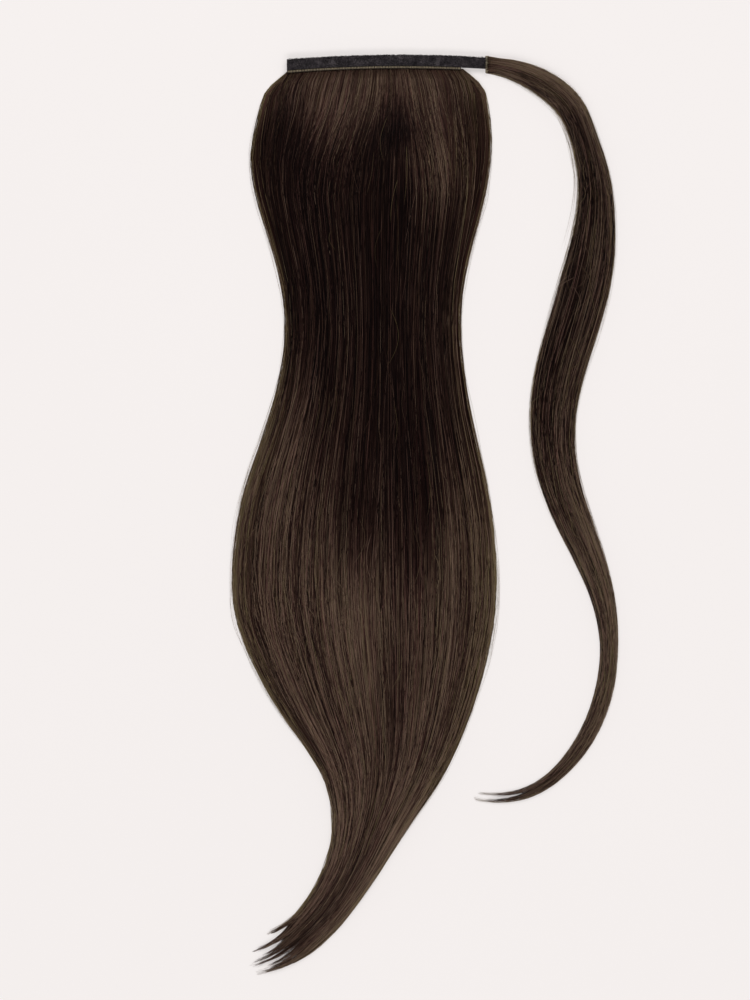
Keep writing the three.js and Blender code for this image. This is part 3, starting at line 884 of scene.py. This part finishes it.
def strand_tones(tone, first, along, depth, looks):
    """The tone of each strand's place, varied by its locks and by itself, with painted shade on
    deeper strands.
    """
    count, rings = along.shape
    lock_tone = looks["streaks"] * streaks(first, looks["locks"], rings, looks["patches"])
    tail = TAIL_STREAKS * streaks(first, TAIL_LOCKS, rings, TAIL_CYCLES)
    lock_tone = lock_tone + tail * smooth_step(0.6, 0.85, along)
    own = RANDOM.normal(0, looks["contrast"], (count, 1))
    own = own + 0.3 * looks["contrast"] * waves(count, rings, 3)
    calm = 1 - CROWN_CALM * smooth_step(CROWN_REACH, 0, along)
    painted_depth_shade = DEPTH_PAINTED_SHADE * np.clip(-depth / MM, 0, 1.2)
    tone = tone + calm * own * (0.6 + 0.7 * tone)
    tone = tone + calm * lock_tone * (0.5 + tone) - painted_depth_shade
    return tone + TIP_LIGHT * smooth_step(0.98, 1 + HairSheet.TIP_SHARE, along)


print("strand looks ready")

# %% [markdown]
# The front layer is the full head of hair, in three pieces so that no mesh grows too large. The
# back layer shows only at the shoulders, along the edges and in the tail, so its strands are laid
# only there. The wrap strand is one thin lock, whose hairs cross more.

# %% The layers of hair
tube_triangles = []


def add_tubes(name, centres, radii, shade, tone, material):
    mesh = tube_mesh(name, centres, radii, shade, tone)
    strands, rings = radii.shape
    triangles = strands * (2 * SIDES * (rings - 1) + 2)
    tube_triangles.append(triangles)
    print(name, strands, "tubes", triangles, "triangles")
    return put(name, mesh, material)


def lay_strands(name, sheet, tone_of, count, rings, looks):
    """One piece of strands. looks holds the ranges that differ from piece to piece."""
    first, locks, mine, along, across = place_strands(count, rings, looks)
    points, low = sheet.strand_at(along, across)
    depth = strand_depths(first, locks, mine, rings, looks)
    radius = RANDOM.uniform(*looks["radius"], count)[:, None] * taper(rings)
    points[..., 2] = np.maximum(points[..., 2] + depth, low + radius + FLOOR_GAP)
    shade = strand_shades(first, mine, looks)
    tone = strand_tones(tone_of(points, across), first, along, depth, looks)
    return add_tubes(name, points, radius, shade, tone, strand_material)


def from_head(count):
    """Most strands start at the head, and some come up from the pile further down."""
    later = RANDOM.uniform(0, 0.75, count)
    return np.where(RANDOM.random(count) < 0.5, 0.0, later)


def from_tail(count):
    """The long under hair shows again where the tail thins out."""
    return RANDOM.uniform(0.72, 0.92, count)


def to_the_tips(count):
    """Strands end at different lengths, so that the hair thins towards its wisps."""
    return np.clip(1 + HairSheet.TIP_SHARE - RANDOM.gamma(2.2, 0.032, count), 0.55, 2)


FRONT_LOOKS = {"start": from_head, "end": to_the_tips, "drift": 0.05, "locks": 210, "gather": 0.3,
               "depth": (-1.0 * MM, 0.2 * MM), "radius": (0.10 * MM, 0.18 * MM),
               "contrast": 0.38, "streaks": 0.2, "patches": 7, "crossing": 0.15,
               "slant": 0.07, "crowding": 0.7, "sweep": 0.2}
for side, low_share, high_share in (("left", -1.0, -0.33), ("middle", -0.36, 0.36),
                                    ("right", 0.33, 1.0)):
    looks = FRONT_LOOKS | {"across": (low_share, high_share)}
    lay_strands("front_hair_" + side, front_sheet, front_tone, 1200, 25, looks)

BACK_LOOKS = FRONT_LOOKS | {"drift": 0.02, "locks": 40, "crowding": 0.78, "sweep": 0}
lay_strands("back_hair_left", back_sheet, fall_tone, 225, 32, BACK_LOOKS | {"across": (-1.0, -0.7)})
lay_strands("back_hair_right", back_sheet, fall_tone, 225, 32, BACK_LOOKS | {"across": (0.7, 1.0)})
TAIL_LOOKS = BACK_LOOKS | {"across": (-1.0, 1.0), "start": from_tail, "locks": 30}
lay_strands("back_hair_tail", back_sheet, fall_tone, 420, 9, TAIL_LOOKS)

STRAND_LOOKS = FRONT_LOOKS | {"across": (-1.0, 1.0), "drift": 0.13, "locks": 44, "gather": 0.1,
                              "depth": (-0.6 * MM, 0.15 * MM), "contrast": 0.52,
                              "radius": (0.08 * MM, 0.15 * MM), "streaks": 0.32,
                              "patches": 13, "slant": 0.22, "crossing": 0.4,
                              "crowding": 0.5, "sweep": 0}
lay_strands("wrap_strand_hair", strand_sheet, strand_tone, 640, 34, STRAND_LOOKS)

# %% [markdown]
# Loose hairs leave the outline in long shallow curves, and a few lie across the surface. They
# are much thinner than they look near by, and lighter, because light comes through them.

# %% Flyaways
LOOSE_EDGE = 0.985
FLYAWAY_RADIUS = (0.03 * MM, 0.06 * MM)
FLYAWAY_LIGHT = 0.4
STRAY_RADIUS = (0.09 * MM, 0.14 * MM)
STRAY_LIGHT = (0.15, 0.65)


def lay_flyaways(name, sheet, tone_of, count, rings, reach, starts=(0.02, 0.9), left=0.5):
    """Thin hairs that leave the edge in a shallow bow and come back to it or end outside."""
    side = np.where(RANDOM.random(count) < left, -1.0, 1.0)[:, None]
    start = RANDOM.uniform(*starts, count)[:, None]
    length = RANDOM.uniform(0.06, 0.25, count)[:, None]
    place = np.linspace(0, 1, rings)
    along = start + length * place
    bow = np.sin(math.pi * place * RANDOM.uniform(0.5, 1.0, (count, 1)))
    across = side * (LOOSE_EDGE + reach * RANDOM.exponential(0.3, (count, 1)).clip(0, 1) * bow)
    points = sheet.strand_at(along, across)[0]
    points[..., 2] = np.maximum(points[..., 2] * 0.8, 0.3 * MM)
    radius = RANDOM.uniform(*FLYAWAY_RADIUS, (count, 1)) * taper(rings)
    tone = tone_of(points, across) + FLYAWAY_LIGHT + RANDOM.normal(0, 0.1, (count, 1))
    shade = RANDOM.uniform(0.6, 1, count)
    add_tubes(name, points, radius, shade, tone, strand_material)


def lay_strays(name, sheet, tone_of, count, rings, reach):
    """Single curved hairs that lie across the others."""
    place = np.linspace(0, 1, rings)
    start = RANDOM.uniform(0.05, 0.85, (count, 1))
    length = RANDOM.uniform(0.02, 0.09, (count, 1))
    along = start + length * place
    sweep = RANDOM.normal(0, reach, (count, 1)) * place
    curl = RANDOM.normal(0, reach, (count, 1)) * np.sin(math.pi * place)
    across = np.clip(RANDOM.uniform(-0.8, 0.8, (count, 1)) + sweep + curl, -0.98, 0.98)
    points = sheet.strand_at(along, across)[0]
    points[..., 2] += 0.35 * MM + 0.3 * MM * np.sin(math.pi * place)
    radius = RANDOM.uniform(*STRAY_RADIUS, (count, 1)) * taper(rings)
    tone = tone_of(points, across) + RANDOM.uniform(*STRAY_LIGHT, (count, 1))
    add_tubes(name, points, radius, RANDOM.uniform(0.3, 1, count), tone, strand_material)


lay_flyaways("fall_flyaways", back_sheet, fall_tone, 500, 12, 0.05)
lay_flyaways("strand_flyaways", strand_sheet, strand_tone, 400, 12, 0.14)
lay_flyaways("root_flyaways", strand_sheet, strand_tone, 70, 12, 0.45, (0.0, 0.14), 1.0)
lay_strays("fall_strays", front_sheet, fall_tone, 110, 12, 0.035)
lay_strays("strand_strays", strand_sheet, strand_tone, 90, 12, 0.3)

# %% [markdown]
# The band is soft loop tape: dull, dark grey and covered with tiny loops. The seam is wound brown
# thread, and the hook tape is black nylon. Images would repeat and need a layout, so small noises
# on the pieces' own coordinates give the mottle, and the loops and stitches are real threads.

# %% Tape, seam and hook materials
def make_tape_material():
    graph = Graph("dark_loop_tape")
    place = graph.node("ShaderNodeTexCoord", output="Object")
    pile = graph.node("ShaderNodeTexNoise", {}, {"Vector": place, "Scale": 1400.0, "Detail": 4.0})
    patch = graph.node("ShaderNodeTexNoise", {}, {"Vector": place, "Scale": 220.0, "Detail": 2.0})
    mix = 0.6 * pile + 0.4 * patch
    colour = graph.node("ShaderNodeValToRGB", {"ramp": [
        (0.32, srgb(18, 16, 18)), (0.5, srgb(47, 43, 46)), (0.7, srgb(88, 82, 84))]}, [mix])
    bump = graph.node("ShaderNodeBump", {}, {"Height": pile, "Strength": 0.8, "Distance": 0.2 * MM})
    return graph.finish(Base_Color=colour, Roughness=1.0, Normal=bump, Specular_IOR_Level=0.05)


def make_fibre_material(name, dark, light):
    """Thread or fuzz whose UV map holds its shade and tone, as the hair's does."""
    graph = Graph(name)
    place = graph.node("ShaderNodeUVMap", {"uv_map": "OFBake"})
    tone = graph.node("ShaderNodeSeparateXYZ", inputs=[place], output="Y")
    colour = graph.mix(tone, (*dark, 1), (*light, 1))
    return graph.finish(Base_Color=colour, Roughness=0.9, Specular_IOR_Level=0.1)


def make_bead_material():
    """The bead under the stitches: the same thread, wound close."""
    graph = Graph("brown_seam_bead")
    place = graph.node("ShaderNodeTexCoord", output="Object")
    fine = graph.node("ShaderNodeTexNoise", {}, {"Vector": place, "Scale": 700.0, "Detail": 2.0})
    colour = graph.mix(fine, (*srgb(30, 22, 18), 1), (*srgb(92, 80, 66), 1))
    return graph.finish(Base_Color=colour, Roughness=0.9)


def make_hook_material():
    graph = Graph("black_hook_tape")
    place = graph.node("ShaderNodeTexCoord", output="Object")
    hooks = graph.node("ShaderNodeTexVoronoi", {}, {"Vector": place, "Scale": 900.0})
    colour = graph.node("ShaderNodeValToRGB", {"ramp": [
        (0.0, srgb(52, 52, 56)), (0.6, srgb(22, 22, 24))]}, [hooks])
    bump = graph.node("ShaderNodeBump", {}, {"Height": hooks, "Strength": 0.9, "Distance": 0.3 * MM})
    return graph.finish(Base_Color=colour, Roughness=0.55, Normal=bump)


tape_material = make_tape_material()
fuzz_material = make_fibre_material("tape_loops", srgb(16, 14, 16), srgb(98, 94, 95))
thread_material = make_fibre_material("brown_thread", srgb(56, 46, 38), srgb(190, 176, 146))
bead_material = make_bead_material()
hook_material = make_hook_material()
print("cloth materials:", tape_material.name, thread_material.name, hook_material.name)

# %% [markdown]
# The band and the seam keep the form of their solids. Cut cloth has no knife edges, so each is a
# copy of its solid with the corners merged and its sharp edges rolled over by a small bevel.


# %% Rounded cloth
def soften_solid(node, name, material, offset):
    bm = bmesh.new()
    bm.from_mesh(nodes[node].data)
    bmesh.ops.remove_doubles(bm, verts=bm.verts[:], dist=0.01 * MM)
    bmesh.ops.dissolve_limit(bm, angle_limit=math.radians(1), verts=bm.verts[:], edges=bm.edges[:])
    sharp = [edge for edge in bm.edges
             if len(edge.link_faces) == 2 and edge.calc_face_angle() > math.radians(35)]
    bmesh.ops.bevel(bm, geom=sharp, offset=offset, affect="EDGES", segments=2, profile=0.5,
                    material=-1, clamp_overlap=True)
    bmesh.ops.recalc_face_normals(bm, faces=bm.faces[:])
    for face in bm.faces:
        face.smooth = True
    mesh = bpy.data.meshes.new(name)
    bm.to_mesh(mesh)
    bm.free()
    piece = put(name, mesh, material)
    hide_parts(node)
    print(name, len(mesh.polygons), "faces")


soften_solid("closure_band", "felted_band", tape_material, 0.35 * MM)
soften_solid("weft_seam", "seam_core", bead_material, 0.2 * MM)
nodes["hook_tape"].data.materials.clear()
nodes["hook_tape"].data.materials.append(hook_material)

# %% [markdown]
# Loop tape is a mat of fine nylon loops. Each is a small arch standing on the tape, thrown about
# at random over its top, its edges and its tab, thickest along the upper edge.

# %% Loops of the tape
LOOP_COUNT = 2600
LOOP_RINGS = 4
LOOP_HEIGHT = 0.55 * MM

band_tree = ray_tree("closure_band")


def make_loops():
    low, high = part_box("closure_band")
    roots, outs = [], []
    while len(roots) < LOOP_COUNT:
        x = RANDOM.uniform(low.x, high.x)
        if RANDOM.random() < 0.55:
            y = RANDOM.uniform(low.y, high.y)
            hit, normal = band_tree.ray_cast(Vector((x, y, RAY_FROM)), Vector((0, 0, -1)))[:2]
        else:
            z = RANDOM.uniform(low.z + 0.2 * MM, high.z)
            side = 1 if RANDOM.random() < 0.6 else -1
            start = Vector((x, side * RAY_FROM, z))
            hit, normal = band_tree.ray_cast(start, Vector((0, -side, 0)))[:2]
        if hit is not None:
            roots.append(hit)
            outs.append(normal)
    roots, outs = np.array(roots), np.array(outs)
    way = RANDOM.normal(0, 1, roots.shape)
    way -= (way * outs).sum(axis=1, keepdims=True) * outs
    way /= np.linalg.norm(way, axis=1, keepdims=True)
    place = np.linspace(0, 1, LOOP_RINGS)
    arch = np.sin(math.pi * (0.08 + 0.8 * place))
    height = LOOP_HEIGHT * RANDOM.uniform(0.3, 1, (len(roots), 1))
    length = RANDOM.uniform(0.5, 1.4, (len(roots), 1)) * MM
    centres = roots[:, None] + (height * arch)[..., None] * outs[:, None]
    centres += (length * (place - 0.5))[..., None] * way[:, None]
    centres[..., 2] = np.maximum(centres[..., 2], 0.15 * MM)
    radii = np.full((len(roots), LOOP_RINGS), 0.07 * MM) * RANDOM.uniform(0.7, 1.3, (len(roots), 1))
    tone = RANDOM.beta(1.6, 3, (len(roots), 1)) + np.zeros((len(roots), LOOP_RINGS))
    shade = RANDOM.uniform(0.1, 0.9, len(roots))
    add_tubes("tape_loops", centres, radii, shade, tone, fuzz_material)


make_loops()

# %% [markdown]
# The weft is held by a close row of stitches that wrap the bead of the seam from the band's
# lower edge to the hair. Each stitch is a short thread bent over the bead.

# %% Stitches of the weft
SEAM_WIDTH = 1.3 * MM
STITCH_PITCH = 0.9 * MM
STITCH_RINGS = 6
STITCH_RADIUS = 0.2 * MM


def make_stitches():
    low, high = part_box("weft_seam")
    count = int((high.x - low.x - 2 * MM) / STITCH_PITCH)
    xs = np.linspace(low.x + MM, high.x - MM, count) + RANDOM.normal(0, 0.08 * MM, count)
    place = np.linspace(0, 1, STITCH_RINGS)
    centres = np.zeros((count, STITCH_RINGS, 3))
    for at, x in enumerate(xs):
        lower = seam_edge([x])[0] - HAIR_UNDER_SEAM
        upper = lower + SEAM_WIDTH
        lean = RANDOM.normal(0, 0.12 * MM)
        for ring, share in enumerate(place):
            y = lower + (upper - lower) * share
            height = top_at(seam_tree, x, min(max(y, lower + 0.1 * MM), upper - 0.1 * MM))
            drop = 0.9 * MM * max(0, 1 - 4 * share)
            centres[at, ring] = (x + lean * share, y, (height or high.z) + 0.1 * MM - drop)
    radii = np.full((count, STITCH_RINGS), STITCH_RADIUS)
    tone = 0.45 + 0.4 * np.sin(math.pi * place)[None, :] + RANDOM.normal(0, 0.12, (count, 1))
    shade = RANDOM.uniform(0.1, 0.9, count)
    add_tubes("weft_stitches", centres, radii, shade, tone, thread_material)


make_stitches()

# %% [markdown]
# The wrap strand is sewn to the end of the tab: short threads run from the band on to the hair.

# %% Binding of the strand's root
BINDING_COUNT = 26
BINDING_RINGS = 6
BINDING_REACH = (0.4 * MM, 1.5 * MM)


def make_binding():
    band_low, band_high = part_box("closure_band")
    tab_x = band_high.x
    middle, half = strand_sheet.middles[0], strand_sheet.halves[0]
    shares = np.linspace(-0.97, 0.97, BINDING_COUNT)
    place = np.linspace(0, 1, BINDING_RINGS)
    centres = np.zeros((BINDING_COUNT, BINDING_RINGS, 3))
    for at, share in enumerate(shares):
        y = middle[1] + share * half
        reach = RANDOM.uniform(*BINDING_REACH)
        for ring, step in enumerate(place):
            x = tab_x - 0.5 * MM + (reach + 0.5 * MM) * step
            heights = [top_at(tree, x, y) or 0 for tree in (band_tree, strand_sheet.tree)]
            top = max(*heights, band_high.z * (1 - 0.25 * abs(share)))
            centres[at, ring] = (x, y + RANDOM.normal(0, 0.1 * MM), top + 0.1 * MM)
        centres[at, 0, 2] -= 0.6 * MM
        centres[at, -1, 2] -= 0.6 * MM
    radii = np.full((BINDING_COUNT, BINDING_RINGS), STITCH_RADIUS)
    tone = 0.4 + RANDOM.normal(0, 0.15, (BINDING_COUNT, 1)) + np.zeros(radii.shape)
    shade = RANDOM.uniform(0.1, 0.9, BINDING_COUNT)
    add_tubes("root_binding", centres, radii, shade, tone, thread_material)


make_binding()

# %% [markdown]
# The looks may not change the object's size: hair and loops stand out from the solids by a few
# millimetres at most.

# %% Count of triangles
print("triangles of the tubes:", sum(tube_triangles))
